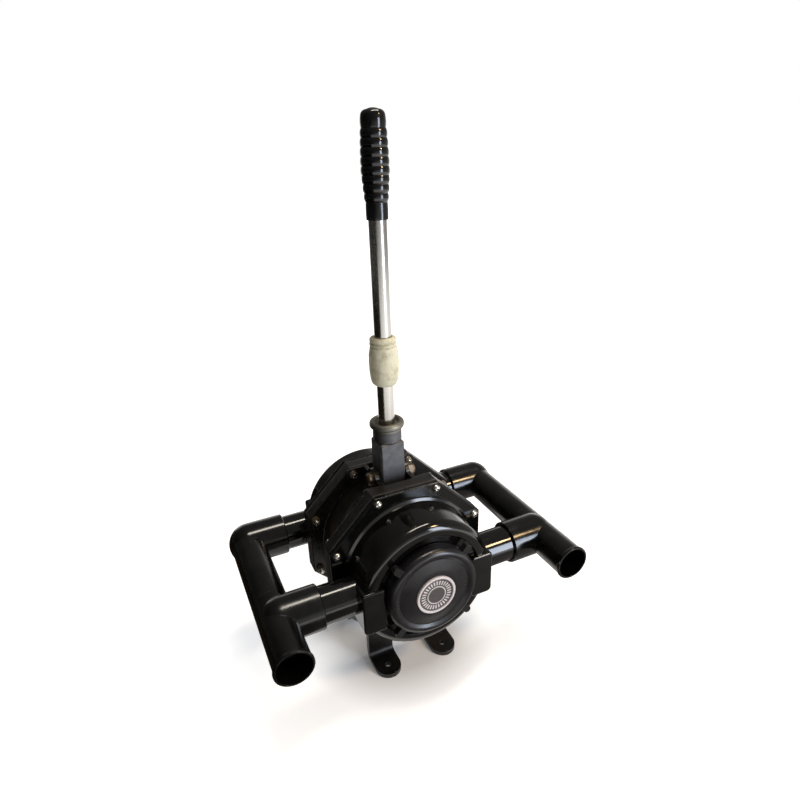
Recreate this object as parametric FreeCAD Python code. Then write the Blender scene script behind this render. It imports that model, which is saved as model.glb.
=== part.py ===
"""Manual double-acting diaphragm bilge pump with an upright hand lever.

Two pump heads stand back to back on four feet. A lever between them drives one push rod,
which works a diaphragm in each head. Left and right pipes join the heads' inlets and outlets.

Frame: Z = 0 is the mounting plane, the origin is the middle of the four foot holes, X runs along
the lever's pivot, and Y along the push rod. The front head is at negative Y. All sizes are in mm.
"""
import FreeCAD, Part
import math
import os

V = FreeCAD.Vector
FRONT = -1
LEFT, RIGHT = -1, 1

# Corners of this size and more are rounded, smaller ones are bevelled
ROUND_FROM = 4.0
# Gap all round between a bore and the piece fitted in it
FIT_GAP = 0.05
# How far a cutter reaches past the face it opens
PAST = 1.0

# Heights above the mounting plane
PORT_Z = 175.0
HEAD_Z = 177.0
PIVOT_Z = 287.0

# Pipework: 1 1/2 inch nominal pipe, with sockets for the heads' 2 inch hose-size spigots
PIPE_R = 24.15
PIPE_BORE_R = 20.45
PIPE_X = 202.5
PIPE_END_Y = 173.3
MOUTH_R = 22.3
MOUTH_DEPTH = 40.0
PORT_Y = 89.3
LINK_HALF = 58.0
BEND_R = 26.0
BRANCH_STEP = 0.6
BRANCH_DOME_R = 30.0
TEE_DOME_OUT = 22.0
ELBOW_DOME_OUT = 26.5
SOCKET_R = 30.4
SOCKET_MOUTH_X = 144.7
SOCKET_DEPTH = 21.3
SPIGOT_R = 25.9
SPIGOT_BORE_R = 20.5
SPIGOT_FOOT_X = 92.0
SPIGOT_END_X = 165.0
SEAL_X = 155.0
SEAL_W = 4.0

# Octagonal flange stack, as distances from the middle plane
FLANGE_HALF_ACROSS = 116.5
RING_INNER_Y = 34.0
RING_OUTER_Y = 52.0
RUBBER_T = 2.5
BOWL_BACK_Y = RING_OUTER_Y + RUBBER_T
BOWL_FLANGE_Y = 62.0
RING_OPENING_R = 98.0
SCREW_CIRCLE_R = 116.0
SCREW_R = 3.0
SCREW_HOLE_R = 3.2
SCREW_END_Y = 23.0
SCREWS_PER_HEAD = 8
WASHER_T = 1.0
NUT_H = 4.5

# Bowl, boss and cap
BOWL_FRONT_Y = 124.0
BOSS_FRONT_Y = 127.0
SHOULDER_Y = 119.0
CHAMBER_R = 92.0
CHAMBER_FRONT_Y = 114.0
CAP_R = 66.0
CAP_RIM_Y = 140.0
CAP_VALLEY_Y = 137.2
CAP_FACE_Y = 141.0
NECK_R = 59.0
NECK_BORE_R = 52.0
NECK_END_Y = 131.0
GASKET_T = 2.0
BADGE_R = 28.5

# Feet: the four holes stand on a 93 by 146 rectangle
FOOT_X = 46.5
FOOT_Y = 73.0
FOOT_R = 19.5
FOOT_HOLE_R = 4.5
FOOT_T = 7.0
LEG_Y = (38.0, 47.0)

# Lever and its pivot
PIVOT_R = 6.0
BUSH_R = 8.0
BLOCK_HALF_X = 18.5
BLOCK_HALF_Y = 18.0
BLOCK_BOTTOM_Z = 275.0
BLOCK_TOP_Z = 346.0
SOCKET_NECK_R = 20.3
NECK_TOP_Z = 362.0
COLLAR_R = 24.5
COLLAR_TOP_Z = 375.0
TUBE_R = 11.6
TUBE_WALL = 2.0
TUBE_FOOT_Z = 306.0
TUBE_TOP_Z = 756.0
CHEEK_X = (21.0, 27.0)
CHEEK_Z = (271.0, 292.5)
CHEEK_TAB_X = 54.0
CHEEK_TAB_T = 4.0
RIVET_Z = (250.0, 266.0)
SET_SCREW_Z = 354.5
SET_SCREW_END_Y = 19.5

# Hand grip
GRIP_FOOT_Z = 644.0
GRIP_PALM_Z = 700.0
GRIP_SHOULDER_Z = 757.5
GRIP_TOP_Z = 766.0
GROOVE_COUNT = 9
FIRST_GROOVE_Z = 664.0
GROOVE_PITCH = 10.1

# Push rod and yoke
ROD_R = 8.0
STUD_R = 6.0
STUD_DEPTH = 8.0
DISC_R = 48.0
INNER_DISC_Y = (46.5, 50.5)
OUTER_DISC_Y = (53.0, 57.0)
ROD_NUT_H = 7.5
YOKE_HALF_X = 11.5
YOKE_HALF = 16.0
PIN_R = 5.0
PIN_RISE = 3.8
PIN_ROOM = 0.5
FORK_X = (12.0, 17.0)
CLIP_X = (18.2, 19.4)
CLIP_GROOVE = 1.0

# Valves: each flap hangs from a pin just downstream of its seat
SEAT_X = (93.0, 99.0)
SEAT_HOLE_R = 14.0
FLAP_R = 16.5
FLAP_TOP_RISE = 12.0
FLAP_T = 1.5
FACING_T = 1.5
SEAT_GAP = 0.2
FLAP_PIN_RISE = 16.0
FLAP_PIN_OUT = 3.3
FLAP_PIN_R = 1.5


def box(x, y, z):
    """Box between two limits along each axis."""
    return Part.makeBox(x[1] - x[0], y[1] - y[0], z[1] - z[0], V(x[0], y[0], z[0]))


def bar(radius, start, end):
    """Round bar from one point to another."""
    return Part.makeCylinder(radius, (end - start).Length, start, end - start)


def line(start, end):
    return Part.LineSegment(start, end).toShape()


def arc(start, through, end):
    return Part.Arc(start, through, end).toShape()


def dome_edge(centre, rim, top):
    """Arc from a dome's rim to its top, part of a circle centred on the dome's axis."""
    rim_r, height = (rim - centre).Length, (top - centre).Length
    sphere_r = (rim_r ** 2 + height ** 2) / (2 * height)
    middle = centre + (top - centre).normalize() * (height - sphere_r)
    towards = ((rim - middle).normalize() + (top - middle).normalize()).normalize()
    return arc(rim, middle + towards * sphere_r, top)


def outline(corners, place):
    """Face inside a closed outline. Each corner is (u, v) or (u, v, corner size).

    A corner of ROUND_FROM or more is rounded to that radius, and a smaller one is bevelled.
    """
    points = [V(corner[0], corner[1], 0) for corner in corners]
    radii = [corner[2] if len(corner) > 2 else 0.0 for corner in corners]
    edges = []
    pen = None
    first = None
    for i, (point, radius) in enumerate(zip(points, radii)):
        start = end = point
        if radius:
            back = (points[i - 1] - point).normalize()
            ahead = (points[(i + 1) % len(points)] - point).normalize()
            half = back.getAngle(ahead) / 2
            start = point + back * (radius / math.tan(half))
            end = point + ahead * (radius / math.tan(half))
            bisector = (back + ahead).normalize()
            middle = point + bisector * (radius / math.sin(half) - radius)
        if pen is not None and (start - pen).Length > 1e-6:
            edges.append(line(place(pen.x, pen.y), place(start.x, start.y)))
        if radius >= ROUND_FROM:
            edges.append(arc(place(start.x, start.y), place(middle.x, middle.y), place(end.x, end.y)))
        elif radius:
            edges.append(line(place(start.x, start.y), place(end.x, end.y)))
        first = first or start
        pen = end
    if (first - pen).Length > 1e-6:
        edges.append(line(place(pen.x, pen.y), place(first.x, first.y)))
    return Part.Face(Part.Wire(edges))


def turned(corners, origin, axis, radial):
    """Solid of revolution. Corners are (radius, distance along the axis, corner radius)."""
    face = outline(corners, lambda r, d: origin + radial * r + axis * d)
    return face.revolve(origin, axis, 360)


def head_turned(corners):
    """Solid turned about the front head's axis; distances count from the middle plane."""
    return turned(corners, V(0, 0, HEAD_Z), V(0, FRONT, 0), V(1, 0, 0))


def lever_turned(corners):
    """Solid turned about the upright lever's axis; distances are heights."""
    return turned(corners, V(0, 0, 0), V(0, 0, 1), V(1, 0, 0))


def octagon(half_across, near, far):
    """Octagonal plate square to Y on the front head's side, flats level and upright."""
    corner_r = half_across / math.cos(math.pi / 8)
    corners = []
    for k in range(9):
        angle = math.radians(22.5 + 45 * k)
        corners.append(V(corner_r * math.cos(angle), -far, HEAD_Z + corner_r * math.sin(angle)))
    return Part.Face(Part.makePolygon(corners)).extrude(V(0, far - near, 0))


def screw_places():
    """Centres of the flange screws, one near each corner of the octagon."""
    places = []
    for k in range(SCREWS_PER_HEAD):
        angle = math.radians(22.5 + 45 * k)
        places.append((SCREW_CIRCLE_R * math.cos(angle), HEAD_Z + SCREW_CIRCLE_R * math.sin(angle)))
    return places


def screw_holes(near, far):
    """Clearance holes for the flange screws through one layer of the front stack."""
    return [bar(SCREW_HOLE_R, V(x, -near, z), V(x, -far, z)) for x, z in screw_places()]


def rearward(shape):
    """The same piece on the rear head."""
    return shape.mirror(V(0, 0, 0), V(0, 1, 0))


def sideways(shape):
    """The same piece on the other side."""
    return shape.mirror(V(0, 0, 0), V(1, 0, 0))


def edges_at(shape, test):
    """Edges whose two ends both pass a test."""
    return [edge for edge in shape.Edges if all(test(vertex.Point) for vertex in edge.Vertexes)]


def group(solids):
    """Like pieces that share one node."""
    return Part.makeCompound(solids)


def bowl():
    """Pump chamber: a turned dish on an octagonal flange, with side bosses that hold the spigots."""
    dish = head_turned([
        (0, BOWL_BACK_Y), (104, BOWL_BACK_Y), (104, 65, 1.5), (99, 67), (96, BOWL_FRONT_Y, 12),
        (78, BOWL_FRONT_Y, 1), (78, SHOULDER_Y), (NECK_R, SHOULDER_Y), (NECK_R, NECK_END_Y),
        (0, NECK_END_Y)])
    flange = octagon(FLANGE_HALF_ACROSS, BOWL_BACK_Y, BOWL_FLANGE_Y)
    chamfered = edges_at(flange, lambda p: abs(p.y + BOWL_FLANGE_Y) < 0.01)
    flange = flange.makeChamfer(1.2, chamfered)
    boss_face = outline([(65, 133, 3), (98, 133, 7), (98, 200, 4), (65, 200, 3)],
                        lambda x, z: V(x, -BOSS_FRONT_Y, z))
    boss = boss_face.extrude(V(0, BOSS_FRONT_Y - BOWL_FLANGE_Y + PAST, 0))
    boss = boss.makeFillet(2.5, edges_at(boss, lambda p: abs(p.y + BOSS_FRONT_Y) < 0.01))
    body = dish.fuse([flange, boss, sideways(boss)])
    cap_room = head_turned([
        (NECK_R, SHOULDER_Y), (CAP_R + 1.5, SHOULDER_Y), (CAP_R + 1.5, 130), (NECK_R, 130)])
    chamber = head_turned([
        (0, BOWL_BACK_Y - PAST), (94, BOWL_BACK_Y - PAST), (94, BOWL_FLANGE_Y),
        (CHAMBER_R, CHAMBER_FRONT_Y, 5), (NECK_BORE_R, CHAMBER_FRONT_Y),
        (NECK_BORE_R, NECK_END_Y + PAST), (0, NECK_END_Y + PAST)])
    inside_x, outside_x = 80, 110
    ports = [bar(SPIGOT_R + FIT_GAP, V(side * inside_x, -PORT_Y, PORT_Z), V(side * outside_x, -PORT_Y, PORT_Z))
             for side in (LEFT, RIGHT)]
    holes = screw_holes(BOWL_BACK_Y - PAST, BOWL_FLANGE_Y + PAST)
    return body.cut([cap_room, chamber] + ports + holes).removeSplitter()


def hose_spigot():
    """Right-hand hose spigot, bonded through the bowl's wall and boss; its bore holds the valve."""
    foot, end = V(SPIGOT_FOOT_X, -PORT_Y, PORT_Z), V(SPIGOT_END_X, -PORT_Y, PORT_Z)
    tube = bar(SPIGOT_R, foot, end)
    tube = tube.makeChamfer(1.0, edges_at(tube, lambda p: p.x > SPIGOT_END_X - 0.01))
    bore = bar(SPIGOT_BORE_R, foot - V(PAST, 0, 0), end + V(PAST, 0, 0))
    return tube.cut([bore, seal_ring(SPIGOT_R + PAST)])


def seal_ring(outer_r):
    """Square-section ring round a right-hand spigot, where its seal sits."""
    groove_depth = 2.0
    near, far = V(SEAL_X, -PORT_Y, PORT_Z), V(SEAL_X + SEAL_W, -PORT_Y, PORT_Z)
    return bar(outer_r, near, far).cut(bar(SPIGOT_R - groove_depth, near, far))


def clamp_ring():
    """Octagonal ring behind the diaphragm, cast in one with two bent legs and their feet."""
    ring = octagon(FLANGE_HALF_ACROSS, RING_INNER_Y, RING_OUTER_Y)
    ring = ring.makeChamfer(1.2, edges_at(ring, lambda p: abs(p.y + RING_INNER_Y) < 0.01))
    opening = bar(RING_OPENING_R, V(0, -RING_INNER_Y + PAST, HEAD_Z), V(0, -RING_OUTER_Y - PAST, HEAD_Z))
    near, far = LEG_Y
    bend_inner_r, bend_outer_r = 8.0, 14.0
    leg_top_z = 82.0
    leg_side = outline([
        (near, leg_top_z), (near, 0, bend_outer_r), (FOOT_Y, 0), (FOOT_Y, FOOT_T),
        (far, FOOT_T, bend_inner_r), (far, leg_top_z)], lambda y, z: V(FOOT_X - FOOT_R, -y, z))
    leg = leg_side.extrude(V(2 * FOOT_R, 0, 0))
    pad = bar(FOOT_R, V(FOOT_X, -FOOT_Y, 0), V(FOOT_X, -FOOT_Y, FOOT_T))
    foot_hole = bar(FOOT_HOLE_R, V(FOOT_X, -FOOT_Y, -PAST), V(FOOT_X, -FOOT_Y, FOOT_T + PAST))
    leg = leg.fuse(pad).cut(foot_hole)
    body = ring.fuse([leg, sideways(leg)])
    holes = screw_holes(RING_INNER_Y - PAST, RING_OUTER_Y + PAST)
    return body.cut([opening] + holes).removeSplitter()


def diaphragm():
    """Rubber sheet: an octagonal clamped rim, one rolling fold and a flat middle."""
    rim_inner_r = 95.0
    middle_near, middle_far = INNER_DISC_Y[1], OUTER_DISC_Y[0]
    rim = octagon(FLANGE_HALF_ACROSS - 0.5, RING_OUTER_Y, BOWL_BACK_Y)
    inside = bar(rim_inner_r, V(0, -RING_OUTER_Y + PAST, HEAD_Z), V(0, -BOWL_BACK_Y - PAST, HEAD_Z))
    sheet = head_turned([
        (rim_inner_r, RING_OUTER_Y), (rim_inner_r, BOWL_BACK_Y), (89, BOWL_BACK_Y, 2), (80, 44.5, 5),
        (66, 44.5, 5), (57, middle_far, 2), (STUD_R, middle_far), (STUD_R, middle_near),
        (56, middle_near, 3), (65, 42, 7.5), (81, 42, 7.5), (90, RING_OUTER_Y, 3)])
    holes = screw_holes(RING_OUTER_Y - PAST, BOWL_BACK_Y + PAST)
    return rim.cut(inside).fuse(sheet).cut(holes).removeSplitter()


def cap():
    """Screwed inspection cap: a skirt, a round rim, a shallow domed face and four grip lugs."""
    ceiling_y = NECK_END_Y + GASKET_T
    plug_y, skirt_y = 126.0, 121.0
    plug_inner_r, plug_r, skirt_r = 46.0, NECK_BORE_R - 0.4, NECK_R + 0.3
    body = head_turned([
        (0, ceiling_y), (plug_inner_r, ceiling_y), (plug_inner_r, plug_y), (plug_r, plug_y),
        (plug_r, ceiling_y), (skirt_r, ceiling_y), (skirt_r, skirt_y), (CAP_R, skirt_y),
        (CAP_R, CAP_RIM_Y, 7.5), (56.5, CAP_RIM_Y, 6), (51.5, CAP_VALLEY_Y),
        (33, CAP_FACE_Y, 40), (0, CAP_FACE_Y)])
    lug_half, lug_root_r, lug_tip_r = 5.0, 62.0, 79.0
    lug_front_y, lug_t = 136.5, 9.0
    lug_face = outline([(lug_root_r, -lug_half), (lug_tip_r, -lug_half, 3), (lug_tip_r, lug_half, 3),
                        (lug_root_r, lug_half)], lambda r, w: V(r, -lug_front_y, HEAD_Z + w))
    lugs = []
    for k in range(4):
        lug = lug_face.extrude(V(0, lug_t, 0))
        lug.rotate(V(0, 0, HEAD_Z), V(0, 1, 0), 45 + 90 * k)
        lugs.append(lug)
    return body.fuse(lugs).removeSplitter()


def cap_gasket():
    """Flat ring between the bowl's neck and the cap."""
    inner_r, outer_r = NECK_BORE_R + 0.5, NECK_R - 0.5
    top_y = NECK_END_Y + GASKET_T
    return head_turned([(inner_r, NECK_END_Y), (outer_r, NECK_END_Y), (outer_r, top_y), (inner_r, top_y)])


def badge():
    """Plain round disc in the cap's face, with a raised rim and a raised middle ring."""
    field_y, ring_y, rim_y = 143.2, 143.8, 144.2
    return head_turned([
        (0, CAP_FACE_Y), (BADGE_R, CAP_FACE_Y), (BADGE_R, rim_y, 0.8), (25, rim_y), (25, field_y),
        (13.5, field_y), (13.5, ring_y), (11.5, ring_y), (11.5, field_y), (0, field_y)])


def flange_screw(x, z):
    """Dome-headed screw from the front flange face to the gap."""
    head_r, head_h = 6.0, 4.5
    place = V(x, -BOWL_FLANGE_Y, z)
    rim = place + V(head_r, 0, 0)
    top = place + V(0, -head_h, 0)
    edges = [line(place, rim), dome_edge(place, rim, top), line(top, place)]
    head = Part.Face(Part.Wire(edges)).revolve(place, V(0, 1, 0), 360)
    return head.fuse(bar(SCREW_R, place, V(x, -SCREW_END_Y, z)))


def hexagon(across_flats, centre, axis, length):
    """Hexagonal prism along X or Y."""
    corner_r = across_flats / math.sqrt(3)
    across = V(0, 1, 0) if abs(axis.x) > 0.5 else V(1, 0, 0)
    up = V(0, 0, 1)
    corners = []
    for k in range(7):
        angle = math.radians(60 * k)
        corners.append(centre + across * (corner_r * math.cos(angle)) + up * (corner_r * math.sin(angle)))
    return Part.Face(Part.makePolygon(corners)).extrude(axis * length)


def under_nut(x, z):
    """Where a flange screw's washer sits: on the ring, or on a cheek's tab at the top corners."""
    on_tab = z > HEAD_Z and abs(x) < CHEEK_TAB_X
    return RING_INNER_Y - CHEEK_TAB_T if on_tab else RING_INNER_Y


def flange_washer(x, z):
    seat = V(x, -under_nut(x, z), z)
    top = seat + V(0, WASHER_T, 0)
    return bar(6.0, seat, top).cut(bar(SCREW_R + 0.1, seat, top))


def flange_nut(x, z):
    seat = V(x, -under_nut(x, z) + WASHER_T, z)
    nut = hexagon(10.0, seat, V(0, 1, 0), NUT_H)
    return nut.cut(bar(SCREW_R, seat, seat + V(0, NUT_H, 0)))


def socket_blank(end_x, port_y):
    """Outside of a right-hand branch: straight from its mouth, with a domed end over the pipe."""
    return turned([
        (0, SOCKET_MOUTH_X), (SOCKET_R, SOCKET_MOUTH_X, 1.2), (SOCKET_R, end_x, BRANCH_DOME_R),
        (0, end_x)], V(0, port_y, PORT_Z), V(1, 0, 0), V(0, 0, 1))


def socket_bore(neck_r, end_x, port_y):
    """Stepped bore of a branch socket: room for the spigot, then the waterway."""
    start_x, floor_x = SOCKET_MOUTH_X - PAST, SOCKET_MOUTH_X + SOCKET_DEPTH
    wide_r = SPIGOT_R + 0.1
    return turned([
        (0, start_x), (wide_r, start_x), (wide_r, floor_x), (neck_r, floor_x), (neck_r, end_x),
        (0, end_x)], V(0, port_y, PORT_Z), V(1, 0, 0), V(0, 0, 1))


def tee():
    """Front of a right-hand pipe: a beaded open end and a branch socket for the front head."""
    pipe_axis = V(PIPE_X, 0, PORT_Z)
    end = pipe_axis + V(0, -PIPE_END_Y, 0)
    back = pipe_axis + V(0, -LINK_HALF, 0)
    bead_r, bead_w = 25.6, 4.0
    bead = turned([(0, 0), (bead_r, 0, 1.2), (bead_r, bead_w, 1.2), (PIPE_R - 1, bead_w + 1.5),
                   (0, bead_w + 1.5)], end, V(0, 1, 0), V(1, 0, 0))
    branch = socket_blank(PIPE_X + TEE_DOME_OUT, -PORT_Y)
    bore = socket_bore(PIPE_BORE_R - BRANCH_STEP, PIPE_X, -PORT_Y)
    waterway = bar(PIPE_BORE_R, end - V(0, PAST, 0), back + V(0, PAST, 0))
    mouth = bar(MOUTH_R, end - V(0, PAST, 0), end + V(0, MOUTH_DEPTH, 0))
    body = bar(PIPE_R, end, back).fuse([bead, branch])
    return body.cut([waterway, mouth, bore]).removeSplitter()


def link_pipe():
    """Straight pipe between a tee and an elbow."""
    start = V(PIPE_X, -LINK_HALF, PORT_Z)
    end = V(PIPE_X, LINK_HALF, PORT_Z)
    return bar(PIPE_R, start, end).cut(bar(PIPE_BORE_R, start, end))


def swept_bend(radius):
    """Round section carried through the elbow's quarter turn."""
    circle = Part.makeCircle(radius, V(PIPE_X, PORT_Y - BEND_R, PORT_Z), V(0, 1, 0))
    disc = Part.Face(Part.Wire(circle))
    return disc.revolve(V(PIPE_X - BEND_R, PORT_Y - BEND_R, PORT_Z), V(0, 0, 1), 90)


def elbow():
    """Rear of a right-hand pipe: a short-radius bend that ends in the rear head's socket."""
    start = V(PIPE_X, LINK_HALF, PORT_Z)
    bend_start = V(PIPE_X, PORT_Y - BEND_R, PORT_Z)
    branch = socket_blank(PIPE_X + ELBOW_DOME_OUT, PORT_Y)
    bore = socket_bore(PIPE_BORE_R, PIPE_X - BEND_R, PORT_Y)
    outside = bar(PIPE_R, start, V(PIPE_X, PORT_Y, PORT_Z)).fuse(branch)
    inside = bar(PIPE_BORE_R, start, bend_start).fuse([swept_bend(PIPE_BORE_R), bore])
    return outside.cut(inside).removeSplitter()


def cheek():
    """Right-hand bridge plate between the clamp rings, with an ear for the pivot bolt."""
    plate = box(CHEEK_X, (-RING_INNER_Y, RING_INNER_Y), CHEEK_Z)
    ear_r = 15.5
    ear = bar(ear_r, V(CHEEK_X[0], 0, PIVOT_Z), V(CHEEK_X[1], 0, PIVOT_Z))
    tab_face = outline([(CHEEK_X[0], CHEEK_Z[0]), (CHEEK_TAB_X, CHEEK_Z[0], 6),
                        (CHEEK_TAB_X, CHEEK_Z[1], 6), (CHEEK_X[0], CHEEK_Z[1])],
                       lambda x, z: V(x, -RING_INNER_Y, z))
    tab = tab_face.extrude(V(0, CHEEK_TAB_T, 0))
    body = plate.fuse([ear, tab, rearward(tab)])
    bolt_hole = bar(PIVOT_R + FIT_GAP, V(CHEEK_X[0] - PAST, 0, PIVOT_Z), V(CHEEK_X[1] + PAST, 0, PIVOT_Z))
    screws = [bar(SCREW_HOLE_R, V(x, -RING_INNER_Y - PAST, z), V(x, RING_INNER_Y + PAST, z))
              for x, z in screw_places() if z > HEAD_Z and 0 < x < CHEEK_TAB_X]
    return body.cut([bolt_hole] + screws).removeSplitter()


def pivot_bolt():
    """Bolt through both cheeks, with a round bright head on the left."""
    head_r, head_h, end_x = 9.5, 7.0, 40.0
    under_head = V(-CHEEK_X[1] - WASHER_T, 0, PIVOT_Z)
    head = turned([(0, 0), (head_r, 0), (head_r, head_h, 2.5), (0, head_h)],
                  under_head, V(LEFT, 0, 0), V(0, 0, 1))
    return head.fuse(bar(PIVOT_R, under_head, V(end_x, 0, PIVOT_Z)))


def pivot_nut():
    nut_h = 8.5
    seat = V(CHEEK_X[1] + WASHER_T, 0, PIVOT_Z)
    return hexagon(18.0, seat, V(RIGHT, 0, 0), nut_h).cut(bar(PIVOT_R, seat, seat + V(nut_h, 0, 0)))


def pivot_washers():
    washers = []
    for start in (-CHEEK_X[1] - WASHER_T, CHEEK_X[1]):
        place = V(start, 0, PIVOT_Z)
        step = V(WASHER_T, 0, 0)
        washers.append(bar(11.0, place, place + step).cut(bar(PIVOT_R + 0.1, place, place + step)))
    return group(washers)


def lever_socket():
    """Cast socket: a square block on the pivot, a tongue for the fork and a round neck."""
    block = box((-BLOCK_HALF_X, BLOCK_HALF_X), (-BLOCK_HALF_Y, BLOCK_HALF_Y),
                (BLOCK_BOTTOM_Z, BLOCK_TOP_Z))
    top_edges = edges_at(block, lambda p: p.z > BLOCK_TOP_Z - 0.01)
    uprights = [edge for edge in block.Edges if edge.BoundBox.ZLength > 10]
    block = block.makeChamfer(2.5, top_edges + uprights)
    tongue = box((-FORK_X[0], FORK_X[0]), (-11, 11), (240, BLOCK_BOTTOM_Z))
    neck = lever_turned([(0, BLOCK_TOP_Z - 2), (17.5, BLOCK_TOP_Z - 2), (SOCKET_NECK_R, BLOCK_TOP_Z + 1),
                         (SOCKET_NECK_R, NECK_TOP_Z), (0, NECK_TOP_Z)])
    side_x = BLOCK_HALF_X + PAST
    bores = [bar(BUSH_R, V(-side_x, 0, PIVOT_Z), V(side_x, 0, PIVOT_Z)),
             bar(TUBE_R + FIT_GAP, V(0, 0, TUBE_FOOT_Z), V(0, 0, NECK_TOP_Z + PAST)),
             bar(SCREW_R, V(0, 5, SET_SCREW_Z), V(0, 30, SET_SCREW_Z))]
    bores += [rivet_bar(z, FORK_X[0] + PAST) for z in RIVET_Z]
    return block.fuse([tongue, neck]).cut(bores).removeSplitter()


def rivet_bar(z, half_length):
    """Shank of a fork rivet, or the hole for it."""
    return bar(3.0, V(-half_length, 0, z), V(half_length, 0, z))


def fork_rivets():
    head_r, head_h = 5.5, 2.0
    rivets = []
    for z in RIVET_Z:
        heads = [bar(head_r, V(side * FORK_X[1], 0, z), V(side * (FORK_X[1] + head_h), 0, z))
                 for side in (LEFT, RIGHT)]
        rivets.append(rivet_bar(z, FORK_X[1]).fuse(heads))
    return group(rivets)


def fork_plate():
    """Right-hand fork plate: hangs from the socket's tongue and carries the yoke pin."""
    half = 12.0
    face = outline([(-half, HEAD_Z - half, half - 0.01), (half, HEAD_Z - half, half - 0.01),
                    (half, BLOCK_BOTTOM_Z - 1, 3), (-half, BLOCK_BOTTOM_Z - 1, 3)],
                   lambda y, z: V(FORK_X[0], y, z))
    plate = face.extrude(V(FORK_X[1] - FORK_X[0], 0, 0))
    holes = [rivet_bar(z, FORK_X[1] + PAST) for z in RIVET_Z]
    holes.append(bar(PIN_R, V(0, 0, HEAD_Z), V(FORK_X[1] + PAST, 0, HEAD_Z)))
    return plate.cut(holes)


def yoke_pin():
    """Pin across the fork that works in the yoke block's slot."""
    pin_half = 21.0
    pin = bar(PIN_R, V(-pin_half, 0, HEAD_Z), V(pin_half, 0, HEAD_Z))
    return pin.cut([clip_ring(side, PIN_R + PAST) for side in (LEFT, RIGHT)])


def clip_ring(side, outer_r):
    """Ring round one end of the yoke pin, from the bottom of its groove."""
    near, far = V(side * CLIP_X[0], 0, HEAD_Z), V(side * CLIP_X[1], 0, HEAD_Z)
    return bar(outer_r, near, far).cut(bar(PIN_R - CLIP_GROOVE, near, far))


def yoke_clips():
    """Retaining rings that hold the yoke pin in the fork."""
    return group([clip_ring(side, 8.0) for side in (LEFT, RIGHT)])


def pivot_bush():
    """Right-hand flanged bush pressed into the socket block."""
    bore_r, flange_r = PIVOT_R + FIT_GAP, 11.0
    inner_x, end_x = 3.0, CHEEK_X[0] - 0.2
    return turned([(bore_r, inner_x), (BUSH_R, inner_x), (BUSH_R, BLOCK_HALF_X),
                   (flange_r, BLOCK_HALF_X), (flange_r, end_x), (bore_r, end_x)],
                  V(0, 0, PIVOT_Z), V(1, 0, 0), V(0, 0, 1))


def collar():
    """Bright ring with a round lip on top of the socket's neck, dished round the tube."""
    bore_r, lip_inner_r, dish_r, dish_z = TUBE_R + FIT_GAP, 18.5, 15.0, 370.5
    return lever_turned([
        (bore_r, NECK_TOP_Z), (SOCKET_NECK_R, NECK_TOP_Z), (SOCKET_NECK_R, 365.0),
        (COLLAR_R, 367.5, 1.5), (COLLAR_R, COLLAR_TOP_Z, 4), (lip_inner_r, COLLAR_TOP_Z, 1.5),
        (dish_r, dish_z), (bore_r, dish_z)])


def set_screw():
    """Grub screw in the rear of the socket's neck, with a hexagon recess."""
    recess_depth = 3.0
    tip = V(0, TUBE_R, SET_SCREW_Z)
    end = V(0, SET_SCREW_END_Y, SET_SCREW_Z)
    recess = hexagon(3.0, end - V(0, recess_depth, 0), V(0, 1, 0), recess_depth + PAST)
    return bar(SCREW_R, tip, end).cut(recess)


def lever_tube():
    return lever_turned([(TUBE_R - TUBE_WALL, TUBE_FOOT_Z), (TUBE_R, TUBE_FOOT_Z),
                         (TUBE_R, TUBE_TOP_Z), (TUBE_R - TUBE_WALL, TUBE_TOP_Z)])


def profile_solid(edges):
    """Solid turned about the lever's axis from outline edges in the XZ plane."""
    return Part.Face(Part.Wire(edges)).revolve(V(0, 0, 0), V(0, 0, 1), 360)


def stop_sleeve():
    """Soft bulb on the tube: a full body under a narrower neck with two grooves."""
    inner = TUBE_R + FIT_GAP
    foot, tip = V(inner, 0, 428.5), V(12.6, 0, 428.5)
    low_belly, high_belly = V(21.0, 0, 446), V(21.0, 0, 469)
    neck, neck_top = V(16.9, 0, 482), V(16.9, 0, 492)
    top, top_inner = V(13.2, 0, 496.5), V(inner, 0, 496.5)
    body = profile_solid([
        line(foot, tip), arc(tip, V(18.6, 0, 435), low_belly),
        arc(low_belly, V(21.6, 0, 458), high_belly), arc(high_belly, V(19.4, 0, 476.5), neck),
        line(neck, neck_top), arc(neck_top, V(15.8, 0, 495.3), top), line(top, top_inner),
        line(top_inner, foot)])
    groove_r, groove_w = 15.7, 1.4
    for z in (483.5, 488.5):
        ring = lever_turned([(groove_r, z), (neck.x + PAST, z), (neck.x + PAST, z + groove_w),
                             (groove_r, z + groove_w)])
        body = body.cut(ring)
    return body


def grip_radius(z):
    """The grip swells smoothly from its foot to the palm, then falls off to the shoulder."""
    foot_r, palm_r, shoulder_r = 13.6, 17.3, 14.5
    if z < GRIP_PALM_Z:
        t = (z - GRIP_FOOT_Z) / (GRIP_PALM_Z - GRIP_FOOT_Z)
        return foot_r + (palm_r - foot_r) * t * t * (3 - 2 * t)
    t = (z - GRIP_PALM_Z) / (GRIP_SHOULDER_Z - GRIP_PALM_Z)
    return palm_r + (shoulder_r - palm_r) * t * t


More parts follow.
